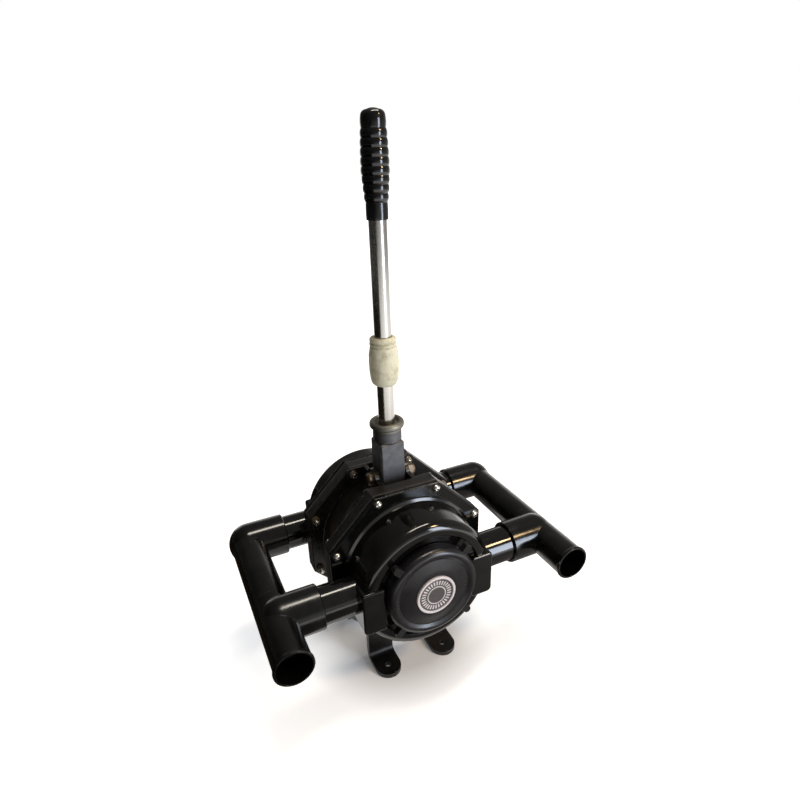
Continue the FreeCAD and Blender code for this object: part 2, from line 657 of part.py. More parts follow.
def hand_grip():
    """Moulded grip: a smooth foot, round finger bulges with grooves between, and a domed end."""
    groove_depth, dome_corner_r, dome_rise = 1.1, 7.0, 1.6
    inner = TUBE_R + FIT_GAP
    grooves = []
    for k in range(GROOVE_COUNT):
        z = FIRST_GROOVE_Z + GROOVE_PITCH * k
        grooves.append(V(grip_radius(z) - groove_depth, 0, z))
    foot = V(grip_radius(GRIP_FOOT_Z), 0, GRIP_FOOT_Z)
    foot_waist_z = (GRIP_FOOT_Z + FIRST_GROOVE_Z) / 2
    foot_waist = V(grip_radius(foot_waist_z), 0, foot_waist_z)
    edges = [line(V(inner, 0, GRIP_FOOT_Z), foot), arc(foot, foot_waist, grooves[0])]
    for low, high in zip(grooves, grooves[1:]):
        z = (low.z + high.z) / 2
        edges.append(arc(low, V(grip_radius(z), 0, z), high))
    shoulder = V(grip_radius(GRIP_SHOULDER_Z), 0, GRIP_SHOULDER_Z)
    last_bulge_z = (grooves[-1].z + GRIP_SHOULDER_Z) / 2
    edges.append(arc(grooves[-1], V(grip_radius(last_bulge_z), 0, last_bulge_z), shoulder))
    dome_rim = V(shoulder.x - dome_corner_r, 0, GRIP_TOP_Z - dome_rise)
    corner = V(shoulder.x - 0.3 * dome_corner_r, 0, GRIP_TOP_Z - dome_rise - 0.3 * dome_corner_r)
    top = V(0, 0, GRIP_TOP_Z)
    edges += [arc(shoulder, corner, dome_rim), dome_edge(V(0, 0, dome_rim.z), dome_rim, top)]
    well = V(0, 0, TUBE_TOP_Z)
    well_rim = V(inner, 0, TUBE_TOP_Z)
    edges += [line(top, well), line(well, well_rim), line(well_rim, V(inner, 0, GRIP_FOOT_Z))]
    return profile_solid(edges)


def yoke_block():
    """Slotted block in the middle of the push rod, driven by the yoke pin."""
    block = box((-YOKE_HALF_X, YOKE_HALF_X), (-YOKE_HALF, YOKE_HALF),
                (HEAD_Z - YOKE_HALF, HEAD_Z + YOKE_HALF))
    slot_r = PIN_R + PIN_ROOM
    corner_r = slot_r - 0.01
    bottom_z, top_z = HEAD_Z - slot_r, HEAD_Z + PIN_RISE + slot_r
    slot_face = outline([(-slot_r, bottom_z, corner_r), (slot_r, bottom_z, corner_r),
                         (slot_r, top_z, corner_r), (-slot_r, top_z, corner_r)],
                        lambda y, z: V(-YOKE_HALF_X - PAST, y, z))
    slot = slot_face.extrude(V(2 * (YOKE_HALF_X + PAST), 0, 0))
    stud_hole = bar(STUD_R, V(0, -YOKE_HALF - PAST, HEAD_Z), V(0, -YOKE_HALF + STUD_DEPTH, HEAD_Z))
    return block.cut([slot, stud_hole, rearward(stud_hole)])


def push_rod():
    """Front half of the push rod, stepped for the discs and threaded into the yoke block."""
    start_y, end_y = YOKE_HALF - STUD_DEPTH, 68.0
    return head_turned([
        (0, start_y), (STUD_R, start_y), (STUD_R, YOKE_HALF), (ROD_R, YOKE_HALF),
        (ROD_R, INNER_DISC_Y[0]), (STUD_R, INNER_DISC_Y[0]), (STUD_R, end_y, 1), (0, end_y)])


def inner_disc():
    """Clamping disc on the gap side of the diaphragm."""
    near, far = INNER_DISC_Y
    return head_turned([(STUD_R, near), (DISC_R, near, 1.8), (DISC_R, far), (STUD_R, far)])


def outer_disc():
    """Clamping disc on the water side of the diaphragm."""
    near, far = OUTER_DISC_Y
    return head_turned([(STUD_R, near), (DISC_R, near), (DISC_R, far, 1.8), (STUD_R, far)])


def rod_nut():
    front = V(0, -OUTER_DISC_Y[1] - ROD_NUT_H, HEAD_Z)
    nut = hexagon(19.0, front, V(0, 1, 0), ROD_NUT_H)
    return nut.cut(bar(STUD_R, front, front + V(0, ROD_NUT_H, 0)))


def seat_face_x(side):
    """Downstream face of a valve seat."""
    return -SEAT_X[0] if side == LEFT else SEAT_X[1]


def flap_axis(side):
    """Hinge of the front flap on one side; flow runs to the right through both seats."""
    return V(seat_face_x(side) + FLAP_PIN_OUT, -PORT_Y, PORT_Z + FLAP_PIN_RISE)


def valve_seat(side):
    """Ring in the spigot's bore, with two lugs for the flap's pin on its downstream face."""
    hinge = flap_axis(side)
    thick = SEAT_X[1] - SEAT_X[0]
    centre = V(seat_face_x(side), -PORT_Y, PORT_Z)
    ring = bar(SPIGOT_BORE_R - FIT_GAP, centre - V(thick, 0, 0), centre)
    waterway = bar(SEAT_HOLE_R, centre - V(thick + PAST, 0, 0), centre + V(PAST, 0, 0))
    lug_w = 2.8
    lugs = [box((centre.x - 1, hinge.x + 2.2), (-PORT_Y + near, -PORT_Y + near + lug_w),
                (hinge.z - 2.4, hinge.z + 2.2)) for near in (6.2, -6.2 - lug_w)]
    return ring.fuse(lugs).cut([waterway, hinge_bar(side, FLAP_PIN_R, 9.5)]).removeSplitter()


def hinge_bar(side, radius, half_length):
    """Round bar along a flap's hinge axis."""
    hinge = flap_axis(side)
    return bar(radius, hinge - V(0, half_length, 0), hinge + V(0, half_length, 0))


def flap_pin(side):
    return hinge_bar(side, FLAP_PIN_R, 9.0)


def flap_disc(side, radius, start, thick):
    """Disc with its top cut flat, standing a small way off its seat."""
    near = V(seat_face_x(side) + start, -PORT_Y, PORT_Z)
    disc = bar(radius, near, near + V(thick, 0, 0))
    top = box((near.x - PAST, near.x + thick + PAST), (-PORT_Y - radius, -PORT_Y + radius),
              (PORT_Z + FLAP_TOP_RISE, PORT_Z + radius))
    return disc.cut(top)


def flap(side):
    """Disc with a knuckle round its pin, and the boss that clamps its rubber facing."""
    start = SEAT_GAP + FACING_T
    near = V(seat_face_x(side) + start, -PORT_Y, PORT_Z)
    knuckle_half, boss_h = 5.6, 7.5
    stem = box((near.x, near.x + FLAP_T), (-PORT_Y - knuckle_half, -PORT_Y + knuckle_half),
               (PORT_Z + 8, flap_axis(side).z))
    boss = bar(6.0, near, near + V(boss_h, 0, 0))
    knuckle = hinge_bar(side, 3.0, knuckle_half)
    pin_hole = hinge_bar(side, FLAP_PIN_R + 2 * FIT_GAP, knuckle_half + PAST)
    body = flap_disc(side, FLAP_R, start, FLAP_T).fuse([stem, knuckle, boss])
    return body.cut(pin_hole).removeSplitter()


def flap_facing(side):
    """Rubber disc on the seat side of a flap."""
    return flap_disc(side, FLAP_R - 0.5, SEAT_GAP, FACING_T)


def save(name, shape):
    """Write one node and report its volume in cubic centimetres."""
    print(name, shape.isValid(), round(shape.Volume / 1000, 2))
    shape.exportStep("parts/" + name + ".step")


def save_pair(name, shape):
    """Write a piece of the front head and its twin on the rear head."""
    save("front_" + name, shape)
    save("rear_" + name, rearward(shape))


def save_group(name, fronts):
    """Write like pieces of both heads as one node."""
    save(name, group(fronts + [rearward(piece) for piece in fronts]))


os.makedirs("parts", exist_ok=True)

save_pair("bowl", bowl())
save_pair("clamp_ring", clamp_ring())
save_pair("diaphragm", diaphragm())
save_pair("cap", cap())
save_pair("cap_gasket", cap_gasket())
save("front_badge", badge())
save_group("flange_screws", [flange_screw(x, z) for x, z in screw_places()])
save_group("flange_washers", [flange_washer(x, z) for x, z in screw_places()])
save_group("flange_nuts", [flange_nut(x, z) for x, z in screw_places()])

for piece_name, piece in (("tee", tee()), ("link_pipe", link_pipe()), ("elbow", elbow())):
    save("outlet_" + piece_name, piece)
    save("inlet_" + piece_name, sideways(piece))
right_spigot = hose_spigot()
right_seal = seal_ring(SPIGOT_R + 0.05)
save_group("hose_spigots", [right_spigot, sideways(right_spigot)])
save_group("spigot_seals", [right_seal, sideways(right_seal)])

for side, name in ((LEFT, "inlet"), (RIGHT, "outlet")):
    save_pair(name + "_seat", valve_seat(side))
    save_pair(name + "_flap", flap(side))
    save_pair(name + "_flap_facing", flap_facing(side))
save_group("flap_pins", [flap_pin(LEFT), flap_pin(RIGHT)])

right_cheek = cheek()
save("right_cheek", right_cheek)
save("left_cheek", sideways(right_cheek))
save("pivot_bolt", pivot_bolt())
save("pivot_nut", pivot_nut())
save("pivot_washers", pivot_washers())

right_bush = pivot_bush()
right_plate = fork_plate()
save("lever_socket", lever_socket())
save("pivot_bushes", group([right_bush, sideways(right_bush)]))
save("right_fork_plate", right_plate)
save("left_fork_plate", sideways(right_plate))
save("fork_rivets", fork_rivets())
save("yoke_pin", yoke_pin())
save("yoke_clips", yoke_clips())
save("socket_collar", collar())
save("tube_set_screw", set_screw())
save("lever_tube", lever_tube())
save("stop_sleeve", stop_sleeve())
save("hand_grip", hand_grip())

save("yoke_block", yoke_block())
save_pair("push_rod", push_rod())
save_pair("inner_disc", inner_disc())
save_pair("outer_disc", outer_disc())
save_group("rod_nuts", [rod_nut()])
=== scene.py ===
"""Manual double-acting bilge pump: looks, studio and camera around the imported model.

Sizes are in metres, in the model's frame: Z up from the feet, X along the lever's pivot, Y along
the push rod, with the front head at negative Y. The sections follow the pump as it is put together.
"""
import math

import bpy
from mathutils import Matrix, Vector


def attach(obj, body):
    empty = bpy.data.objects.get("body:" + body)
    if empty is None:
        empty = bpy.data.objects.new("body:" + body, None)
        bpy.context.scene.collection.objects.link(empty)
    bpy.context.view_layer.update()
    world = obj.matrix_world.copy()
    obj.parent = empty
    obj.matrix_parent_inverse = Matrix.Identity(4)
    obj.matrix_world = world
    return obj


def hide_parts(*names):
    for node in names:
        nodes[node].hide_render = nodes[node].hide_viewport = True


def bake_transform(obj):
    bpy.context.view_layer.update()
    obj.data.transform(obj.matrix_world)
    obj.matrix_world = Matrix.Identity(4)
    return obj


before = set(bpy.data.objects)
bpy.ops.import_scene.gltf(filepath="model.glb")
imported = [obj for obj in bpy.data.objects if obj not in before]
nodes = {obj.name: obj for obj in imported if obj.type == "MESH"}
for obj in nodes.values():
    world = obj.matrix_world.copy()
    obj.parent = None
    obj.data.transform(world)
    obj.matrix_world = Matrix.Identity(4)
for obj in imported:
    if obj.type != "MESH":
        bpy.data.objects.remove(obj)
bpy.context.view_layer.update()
bpy.ops.object.select_all(action="DESELECT")
scene = bpy.context.scene


# Studio
# A white floor and three lamps: a tall window to the front right, a long lamp overhead and a small
# warm one. A ball of studio cloth and a ring of floor cards, dark to the left, are there for gloss.
CAMERA_AT = (-0.28706, -0.67948, 0.72416)
CAMERA_YAW = 24.436
CAMERA_PITCH = 23.451
CAMERA_ROLL = -2.010
CAMERA_LENS = 26.27
CAMERA_SENSOR = 36.0


def linear(code):
    """sRGB hex colour as the linear RGBA that the shaders take."""
    channels = [int(code[i:i + 2], 16) / 255 for i in (0, 2, 4)]
    rgb = tuple(c / 12.92 if c <= 0.04045 else ((c + 0.055) / 1.055) ** 2.4 for c in channels)
    return rgb + (1.0,)


def add_node(tree, kind, inputs=None, **settings):
    """Adds a shader node, sets its options, and fills its sockets with values or links."""
    made = tree.nodes.new("ShaderNode" + kind)
    for name, value in settings.items():
        setattr(made, name, value)
    for socket, value in (inputs or {}).items():
        if isinstance(value, bpy.types.NodeSocket):
            tree.links.new(value, made.inputs[socket])
        else:
            made.inputs[socket].default_value = value
    return made


def new_tree(name):
    """New material with an empty node tree."""
    material = bpy.data.materials.new(name)
    material.use_nodes = True
    material.node_tree.nodes.clear()
    return material, material.node_tree


def add_lamp(name, place, target, size, power, colour):
    """Rectangular area lamp at one point, turned towards another."""
    data = bpy.data.lights.new(name, "AREA")
    data.shape = "RECTANGLE"
    data.size, data.size_y = size
    data.energy = power
    data.color = linear(colour)[:3]
    lamp = bpy.data.objects.new(name, data)
    lamp.location = place
    lamp.rotation_euler = (Vector(target) - Vector(place)).to_track_quat("-Z", "Y").to_euler()
    scene.collection.objects.link(lamp)


camera_data = bpy.data.cameras.new("camera")
camera_data.lens = CAMERA_LENS
camera_data.sensor_width = CAMERA_SENSOR
camera = bpy.data.objects.new("camera", camera_data)
camera.rotation_mode = "QUATERNION"
camera.location = CAMERA_AT
turn = Matrix.Rotation(math.radians(-CAMERA_YAW), 4, "Z")
tilt = Matrix.Rotation(math.radians(90 - CAMERA_PITCH), 4, "X")
lean = Matrix.Rotation(math.radians(CAMERA_ROLL), 4, "Z")
camera.rotation_quaternion = (turn @ tilt @ lean).to_quaternion()
scene.collection.objects.link(camera)
scene.camera = camera
scene.view_settings.view_transform = "Standard"

add_lamp("window", (1.15, -2.0, 0.62), (0, 0, 0.35), (0.55, 1.3), 34, "E2EDFF")
add_lamp("overhead", (0.35, 0.1, 2.3), (0, 0, 0.2), (0.3, 1.2), 24, "FFF6E8")
add_lamp("warm", (1.0, -1.15, 1.6), (0, 0, 0.2), (0.26, 0.26), 11, "FFD9A4")

world = bpy.data.worlds.new("surround")
scene.world = world
world.use_nodes = True
world.node_tree.nodes.clear()
surround = add_node(world.node_tree, "Background", {"Color": linear("FFFFFF"), "Strength": 1.0})
add_node(world.node_tree, "OutputWorld", {"Surface": surround.outputs[0]})

# The floor is white to the camera and in reflections. Its glow fades within reach of the feet, first
# slowly and then fast, which keeps part of the pump's shadow and adds a painted shade under the pump,
# darkest within DARKEST_REACH.
FLOOR_SIZE = 30
FEET_REACH, OPEN_REACH = 0.16, 0.6
DARKEST_REACH = 0.09
DARKEST_GLOW, FEET_GLOW = 0.1, 0.55
bpy.ops.mesh.primitive_plane_add(size=FLOOR_SIZE)
floor = bpy.context.object
floor.name = "floor"
floor_paint, tree = new_tree("white floor")
light_path = add_node(tree, "LightPath")
seen = add_node(tree, "Math", {0: light_path.outputs["Is Camera Ray"],
                               1: light_path.outputs["Is Glossy Ray"]}, operation="MAXIMUM")
seen_any = add_node(tree, "Math", {0: seen.outputs[0], 1: light_path.outputs["Is Transmission Ray"]},
                    operation="MAXIMUM")
spot = add_node(tree, "NewGeometry")
reach = add_node(tree, "VectorMath", {0: spot.outputs["Position"]}, operation="LENGTH")
# Painted shade under the pump: the glow is lowest within DARKEST_REACH and rises towards FEET_REACH.
painted_shade_under = add_node(tree, "MapRange", {"Value": reach.outputs["Value"], "From Min": DARKEST_REACH,
                                    "From Max": FEET_REACH, "To Min": DARKEST_GLOW,
                                    "To Max": FEET_GLOW})
beyond = add_node(tree, "MapRange", {"Value": reach.outputs["Value"], "From Min": FEET_REACH,
                                     "From Max": OPEN_REACH, "To Min": 0.0,
                                     "To Max": 1.0 - FEET_GLOW})
fill = add_node(tree, "Math", {0: painted_shade_under.outputs[0], 1: beyond.outputs[0]}, operation="ADD")
lit = add_node(tree, "BsdfDiffuse", {"Color": linear("F4F4F4")})
glow = add_node(tree, "Emission", {"Color": linear("FFFFFF"), "Strength": fill.outputs[0]})
both = add_node(tree, "AddShader", {0: lit.outputs[0], 1: glow.outputs[0]})
mixed = add_node(tree, "MixShader", {0: seen_any.outputs[0], 1: lit.outputs[0], 2: both.outputs[0]})
add_node(tree, "OutputMaterial", {"Surface": mixed.outputs[0]})
floor.data.materials.append(floor_paint)

# The cloth hangs round the pump as half a ball: white behind, pale to the right, brightest by the
# window, and dark from there round to the left. Overhead it is grey, paler on the window's side.
CLOTH_R = 3.0
CLOTH_TONES = ((0.0, 1.0), (0.13, 1.0), (0.22, 0.45), (0.36, 0.45), (0.43, 1.0), (0.61, 0.05),
               (0.93, 0.05), (0.96, 1.0))
OVERHEAD_TONES = (0.03, 0.28)
OVERHEAD_FROM = (0.7, 1.2)
WINDOW_SIDE = (0.80, -0.20, 0.56)
FLOOR_GAP = 0.0005
bpy.ops.mesh.primitive_uv_sphere_add(segments=64, ring_count=32, radius=CLOTH_R)
cloth = bpy.context.object
cloth.name = "studio_cloth"
bpy.ops.object.mode_set(mode="EDIT")
bpy.ops.mesh.select_all(action="SELECT")
bpy.ops.mesh.bisect(plane_co=(0, 0, FLOOR_GAP), plane_no=(0, 0, 1), clear_inner=True)
bpy.ops.object.mode_set(mode="OBJECT")
cloth_look, tree = new_tree("studio cloth")
spot = add_node(tree, "NewGeometry")
axes = add_node(tree, "SeparateXYZ", {0: spot.outputs["Position"]})
bearing = add_node(tree, "Math", {0: axes.outputs["X"], 1: axes.outputs["Y"]}, operation="ARCTAN2")
circuit = add_node(tree, "Math", {0: bearing.outputs[0], 1: 2 * math.pi}, operation="DIVIDE")
share = add_node(tree, "Math", {0: circuit.outputs[0], 1: 1.0}, operation="FLOORED_MODULO")
around = add_node(tree, "ValToRGB", {0: share.outputs[0]})
stops = around.color_ramp.elements
while len(stops) < len(CLOTH_TONES):
    stops.new(0.5)
for stop, (place, grey) in zip(stops, CLOTH_TONES):
    stop.position = place
    stop.color = (grey, grey, grey, 1.0)
side = add_node(tree, "VectorMath", {0: spot.outputs["Position"], 1: WINDOW_SIDE},
                operation="DOT_PRODUCT")
above = add_node(tree, "MapRange", {"Value": side.outputs["Value"], "From Min": -1.5, "From Max": 2.8,
                                    "To Min": OVERHEAD_TONES[0], "To Max": OVERHEAD_TONES[1]})
rise = add_node(tree, "MapRange", {"Value": axes.outputs["Z"], "From Min": OVERHEAD_FROM[0],
                                   "From Max": OVERHEAD_FROM[1], "To Min": 0.0, "To Max": 1.0})
strength = add_node(tree, "Mix", {0: rise.outputs[0], 2: around.outputs[0], 3: above.outputs[0]},
                    data_type="FLOAT")
pale = add_node(tree, "Emission", {"Color": linear("FFFCF8"), "Strength": strength.outputs[0]})
add_node(tree, "OutputMaterial", {"Surface": pale.outputs[0]})
cloth.data.materials.append(cloth_look)

# The cards lie on the floor round the feet: a grey ring all round, and from DARK_REACH outwards
# only to the left, between two bearings. They show only in reflections, as a painted reflection
# darker than the white floor: dark to the left and pale to the right.
CARD_RADII = (0.19, 0.75, 2.9)
CARD_Z = 0.001
DARK_FROM, DARK_TO = 112, 228
DARK_REACH = 1.0
bpy.ops.mesh.primitive_circle_add(vertices=90, radius=CARD_RADII[0], location=(0, 0, CARD_Z))
cards = bpy.context.object
cards.name = "floor_cards"
bpy.ops.object.transform_apply(location=True)
bpy.ops.object.mode_set(mode="EDIT")
bpy.ops.mesh.select_all(action="SELECT")
for inner, outer in zip(CARD_RADII, CARD_RADII[1:]):
    bpy.ops.mesh.extrude_region_move(TRANSFORM_OT_translate={"value": (0, 0, 0)})
    bpy.ops.transform.resize(value=(outer / inner, outer / inner, 1), center_override=(0, 0, 0))
bpy.ops.mesh.select_all(action="DESELECT")
bpy.ops.object.mode_set(mode="OBJECT")
for face in cards.data.polygons:
    middle = face.center
    at_left = DARK_FROM <= math.degrees(math.atan2(middle.y, middle.x)) % 360 <= DARK_TO
    face.select = middle.length > DARK_REACH and not at_left
bpy.ops.object.mode_set(mode="EDIT")
bpy.ops.mesh.delete(type="FACE")
bpy.ops.object.mode_set(mode="OBJECT")
card_look, tree = new_tree("grey floor card")
spot = add_node(tree, "NewGeometry")
axes = add_node(tree, "SeparateXYZ", {0: spot.outputs["Position"]})
shade = add_node(tree, "MapRange", {"Value": axes.outputs["X"], "From Min": -0.3, "From Max": 0.25,
                                    "To Min": 0.0, "To Max": 1.0})
# Painted reflection: the cards' tone, dark to the left and pale to the right, is seen only in gloss.
tint = add_node(tree, "Mix", {0: shade.outputs[0], 6: linear("322C26"), 7: linear("A4A4A6")},
                data_type="RGBA")
matt = add_node(tree, "BsdfDiffuse", {"Color": tint.outputs[2]})
add_node(tree, "OutputMaterial", {"Surface": matt.outputs[0]})
cards.data.materials.append(card_look)

for unseen in (cloth, cards):
    unseen.visible_camera = False
    unseen.visible_shadow = False
cards.visible_diffuse = False
bpy.ops.object.select_all(action="DESELECT")


# Clamp rings, feet and cheeks
# The structural castings, of aluminium alloy under black enamel. Each ring is cast in one with its
# two legs and feet, and the cheeks are screwed across the rings to carry the lever.
PLASTIC_IOR = 1.5


def dress(material, *names):
    """Gives CAD nodes a finish."""
    for name in names:
        nodes[name].data.materials.clear()
        nodes[name].data.materials.append(material)


def blank_finish(name):
    """New material with only a Principled shader and its output; returns material, tree, shader."""
    material, tree = new_tree(name)
    shader = add_node(tree, "BsdfPrincipled")
    add_node(tree, "OutputMaterial", {"Surface": shader.outputs[0]})
    return material, tree, shader


def black_enamel():
    """Sprayed enamel, a little orange-peeled: a soft gloss, dusty in clouds and grey where rubbed.

    The Bevel node rounds the edges to 1.2 mm and finds the rubbed ones. Dust clouds are about 26 mm
    across and scuffs 6 mm. The peel is drawn at 2.4 mm, coarser than real, so that it shows.
    """
    material, tree, shader = blank_finish("black enamel on cast alloy")
    coords = add_node(tree, "TexCoord").outputs["Object"]
    cloud = add_node(tree, "TexNoise", {"Vector": coords, "Scale": 38.0, "Detail": 5.0})
    dust = add_node(tree, "Mix", {0: cloud.outputs["Fac"], 6: linear("090909"), 7: linear("1B1814")},
                    data_type="RGBA")
    shape = add_node(tree, "NewGeometry")
    rounded = add_node(tree, "Bevel", {"Radius": 0.0012}, samples=4)
    facing = add_node(tree, "VectorMath", {0: rounded.outputs[0], 1: shape.outputs["Normal"]},
                      operation="DOT_PRODUCT")
    scuffs = add_node(tree, "TexNoise", {"Vector": coords, "Scale": 160.0, "Detail": 3.0})
    edge = add_node(tree, "MapRange", {"Value": facing.outputs["Value"], "From Min": 0.985,
                                       "From Max": 0.88, "To Min": 0.0, "To Max": 1.0})
    worn = add_node(tree, "Math", {0: edge.outputs[0], 1: scuffs.outputs["Fac"]}, operation="MULTIPLY")
    colour = add_node(tree, "Mix", {0: worn.outputs[0], 6: dust.outputs[2], 7: linear("3D3C3A")},
                      data_type="RGBA")
    tree.links.new(colour.outputs[2], shader.inputs["Base Color"])
    gloss = add_node(tree, "MapRange", {"Value": cloud.outputs["Fac"], "From Min": 0.3,
                                        "From Max": 0.75, "To Min": 0.24, "To Max": 0.4})
    tree.links.new(gloss.outputs[0], shader.inputs["Roughness"])
    peel = add_node(tree, "TexNoise", {"Vector": coords, "Scale": 420.0, "Detail": 2.0})
    bump = add_node(tree, "Bump", {"Height": peel.outputs["Fac"], "Strength": 0.12, "Distance": 0.0006,
                                   "Normal": rounded.outputs[0]})
    tree.links.new(bump.outputs[0], shader.inputs["Normal"])
    shader.inputs["IOR"].default_value = PLASTIC_IOR
    return material


dress(black_enamel(), "front_clamp_ring", "rear_clamp_ring", "left_cheek", "right_cheek")


# Push rod, yoke block and discs
# Turned stainless rods, screwed from both sides into a machined aluminium block whose slot the
# lever works in. A disc each side of the rubber spreads the pull, and a nut draws them tight.
def bare_metal(name, colour, stained, low, high, stretch=(1.0, 1.0, 1.0), edges=0.0004):
    """Bare metal that mirrors the studio dimly, dulled in clouds about 8 mm across.

    A stretch draws the clouds out into streaks along a drawn piece. The edges' radius is in metres;
    with none, a thin wall stays free of speckles.
    """
    material, tree, shader = blank_finish(name)
    coords = add_node(tree, "TexCoord").outputs["Object"]
    drawn = add_node(tree, "Mapping", {"Vector": coords, "Scale": stretch})
    cloud = add_node(tree, "TexNoise", {"Vector": drawn.outputs[0], "Scale": 120.0, "Detail": 4.0})
    tint = add_node(tree, "Mix", {0: cloud.outputs["Fac"], 6: linear(colour), 7: linear(stained)},
                    data_type="RGBA")
    tree.links.new(tint.outputs[2], shader.inputs["Base Color"])
    gloss = add_node(tree, "MapRange", {"Value": cloud.outputs["Fac"], "From Min": 0.3,
                                        "From Max": 0.7, "To Min": low, "To Max": high})
    tree.links.new(gloss.outputs[0], shader.inputs["Roughness"])
    if edges:
        rounded = add_node(tree, "Bevel", {"Radius": edges}, samples=4)
        tree.links.new(rounded.outputs[0], shader.inputs["Normal"])
    shader.inputs["Metallic"].default_value = 1.0
    return material


stainless = bare_metal("turned stainless steel", "E2E0DA", "B8B4AA", 0.16, 0.34)
dress(stainless, "front_push_rod", "rear_push_rod", "rod_nuts")
dress(bare_metal("machined aluminium alloy", "8E8D8A", "74716C", 0.38, 0.55), "yoke_block",
      "front_inner_disc", "rear_inner_disc", "front_outer_disc", "rear_outer_disc")


# Diaphragms
# Fabric-reinforced neoprene sheets, pressed with one rolling fold. The octagonal rim is clamped
# between ring and bowl, and the middle between two discs on the push rod.
HEADS = {"front": -1, "rear": 1}
HEAD_Z = 0.177
RIM_HALF_ACROSS = 0.1160
RIM_Y = (0.0520, 0.0545)
MIDDLE_Y = (0.0505, 0.0530)
STUD_R = 0.0060
SHEET_R = 0.0950
SHEET_SECTORS = 24
SECTOR_STEPS = 4
CLAMP_INNER_R = 0.0925
SMALLEST_GAP = 2e-6
SHARPEST_SMOOTH = 35


def moulded(name, colour, dusty, low_gloss, high_gloss, ripple):
    """Moulded plastic or rubber: its gloss wavers over slow sink ripples, under a film of dust.

    Dust clouds are about 40 mm across and sink ripples 33 mm, and edges are rounded to 0.6 mm. The
    mould's grain is drawn at 1.1 mm, coarser than real, so that it shows.
    """
    material, tree, shader = blank_finish(name)
    coords = add_node(tree, "TexCoord").outputs["Object"]
    film = add_node(tree, "TexNoise", {"Vector": coords, "Scale": 24.0, "Detail": 6.0,
                                       "Roughness": 0.6})
    settled = add_node(tree, "MapRange", {"Value": film.outputs["Fac"], "From Min": 0.42,
                                          "From Max": 0.72, "To Min": 0.0, "To Max": 1.0})
    tint = add_node(tree, "Mix", {0: settled.outputs[0], 6: linear(colour), 7: linear(dusty)},
                    data_type="RGBA")
    tree.links.new(tint.outputs[2], shader.inputs["Base Color"])
    gloss = add_node(tree, "MapRange", {"Value": film.outputs["Fac"], "From Min": 0.35,
                                        "From Max": 0.7, "To Min": low_gloss, "To Max": high_gloss})
    tree.links.new(gloss.outputs[0], shader.inputs["Roughness"])
    rounded = add_node(tree, "Bevel", {"Radius": 0.0006}, samples=4)
    sink = add_node(tree, "TexNoise", {"Vector": coords, "Scale": 30.0, "Detail": 1.0})
    grain = add_node(tree, "TexNoise", {"Vector": coords, "Scale": 900.0, "Detail": 2.0})
    waves = add_node(tree, "Bump", {"Height": sink.outputs["Fac"], "Strength": ripple,
                                    "Distance": 0.002, "Normal": rounded.outputs[0]})
    bump = add_node(tree, "Bump", {"Height": grain.outputs["Fac"], "Strength": 0.08,
                                   "Distance": 0.0002, "Normal": waves.outputs[0]})
    tree.links.new(bump.outputs[0], shader.inputs["Normal"])
    shader.inputs["IOR"].default_value = PLASTIC_IOR
    return material


def spun(name, outline, centre, axis, sweep=360.0, steps=48):
    """Draws an outline point by point from one vertex and spins it about an axis, as on a lathe."""
    bpy.ops.mesh.primitive_plane_add(size=0.002, location=outline[0])
    piece = bpy.context.object
    piece.name = name
    bpy.ops.object.transform_apply(location=True, rotation=True, scale=True)
    bpy.ops.object.mode_set(mode="EDIT")
    bpy.ops.mesh.select_all(action="SELECT")
    bpy.ops.mesh.merge(type="CENTER")
    for start, end in zip(outline, outline[1:]):
        step = Vector(end) - Vector(start)
        bpy.ops.mesh.extrude_region_move(TRANSFORM_OT_translate={"value": step})
    bpy.ops.mesh.select_all(action="SELECT")
    bpy.ops.mesh.spin(steps=steps, angle=math.radians(sweep), center=centre, axis=axis)
    bpy.ops.mesh.select_all(action="SELECT")
    bpy.ops.mesh.remove_doubles(threshold=SMALLEST_GAP)
    bpy.ops.mesh.select_all(action="DESELECT")
    bpy.ops.mesh.select_non_manifold()
    bpy.ops.mesh.fill_holes(sides=0)
    finish_mesh(piece)
    return piece


def finish_mesh(piece):
    """Merges doubles, turns the faces outwards and smooths all but the sharp edges."""
    if bpy.context.mode == "OBJECT":
        bpy.ops.object.select_all(action="DESELECT")
        bpy.context.view_layer.objects.active = piece
        piece.select_set(True)
        bpy.ops.object.mode_set(mode="EDIT")
    bpy.ops.mesh.select_all(action="SELECT")
    bpy.ops.mesh.remove_doubles(threshold=SMALLEST_GAP)
    bpy.ops.mesh.normals_make_consistent(inside=False)
    bpy.ops.object.mode_set(mode="OBJECT")
    bpy.ops.object.shade_smooth_by_angle(angle=math.radians(SHARPEST_SMOOTH))
    bpy.ops.object.select_all(action="DESELECT")


def cut_with(piece, tool, operation="DIFFERENCE"):
    """Cuts a tool's shape out of a piece, or keeps only what both fill; the tool goes."""
    cut = piece.modifiers.new("cut", "BOOLEAN")
    cut.object = tool
    cut.operation = operation
    bpy.context.view_layer.objects.active = piece
    bpy.ops.object.modifier_apply(modifier="cut")
    bpy.data.objects.remove(tool)
    finish_mesh(piece)


def copy_at(piece, name, place):
    """A copy of a piece, with its own mesh, at another place."""
    copy = bpy.data.objects.new(name, piece.data.copy())
    copy.data.transform(place)
    scene.collection.objects.link(copy)
    return copy


def head_turn(angle):
    """A turn about the axis that both heads share."""
    return (Matrix.Translation((0, 0, HEAD_Z)) @ Matrix.Rotation(angle, 4, "Y")
            @ Matrix.Translation((0, 0, -HEAD_Z)))


